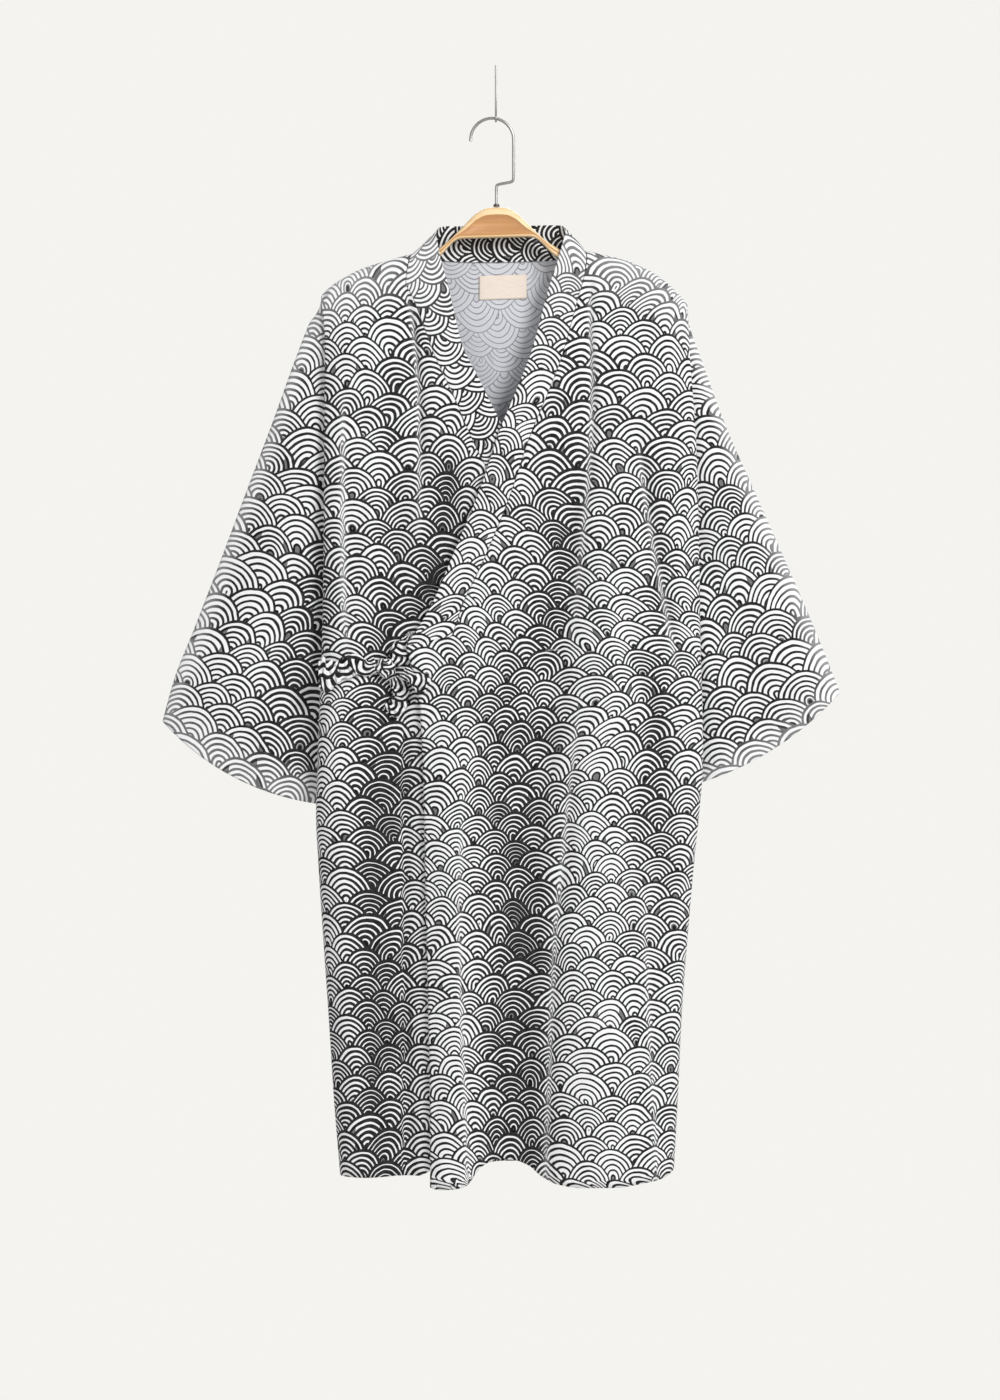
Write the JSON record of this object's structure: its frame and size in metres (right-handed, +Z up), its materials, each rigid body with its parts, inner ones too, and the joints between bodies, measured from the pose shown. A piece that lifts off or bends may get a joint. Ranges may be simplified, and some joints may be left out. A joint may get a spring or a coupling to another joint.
{
  "type": "cotton yukata robe on a wooden hanger",
  "caption": "Cotton yukata robe with an irregular wave-scale print, left front over right, self-fabric side ties, wide neckband and plain neck label, on a wooden hanger.",
  "frame": {"origin": "upper end of the thin straight wire of the wall hook that the hanger hangs on, where the wall holds it", "axes": "+Z up along the hanging wire, +X towards the viewer's right (the wearer's left), -Y out of the robe's front"},
  "size_m": [0.7285, 0.0842, 1.206],
  "materials": {
    "printed_cotton": "matt plain-weave cotton printed in black on white with irregular overlapping wave scales",
    "printed_cotton_back": "the same printed cotton, paler and bluish on its inner side",
    "printed_cotton_band": "the same printed cotton, folded along the band",
    "plain_label_cloth": "plain woven beige label with nothing on it",
    "pale_wood": "satin-varnished pale wood with light bevelled edges",
    "bright_steel": "bright drawn steel wire",
    "dark_steel": "dark satin metal"
  },
  "bodies": {
    "root": {"back_upper": "printed_cotton_back", "back_lower": "printed_cotton_back", "left_front_upper": "printed_cotton", "left_front_lower": "printed_cotton", "right_front_upper": "printed_cotton", "right_front_lower": "printed_cotton", "left_sleeve": "printed_cotton", "right_sleeve": "printed_cotton", "collar": "printed_cotton_band", "neck_label": "plain_label_cloth", "tie_corner": "printed_cotton", "tie_side": "printed_cotton", "tie_knot": "printed_cotton", "tie_tail_long": "printed_cotton", "tie_tail_short": "printed_cotton", "hanger_wood": "pale_wood", "hanger_ferrule": "dark_steel", "hanger_hook": "bright_steel", "hanging_wire": "bright_steel"}
  },
  "joints": []
}
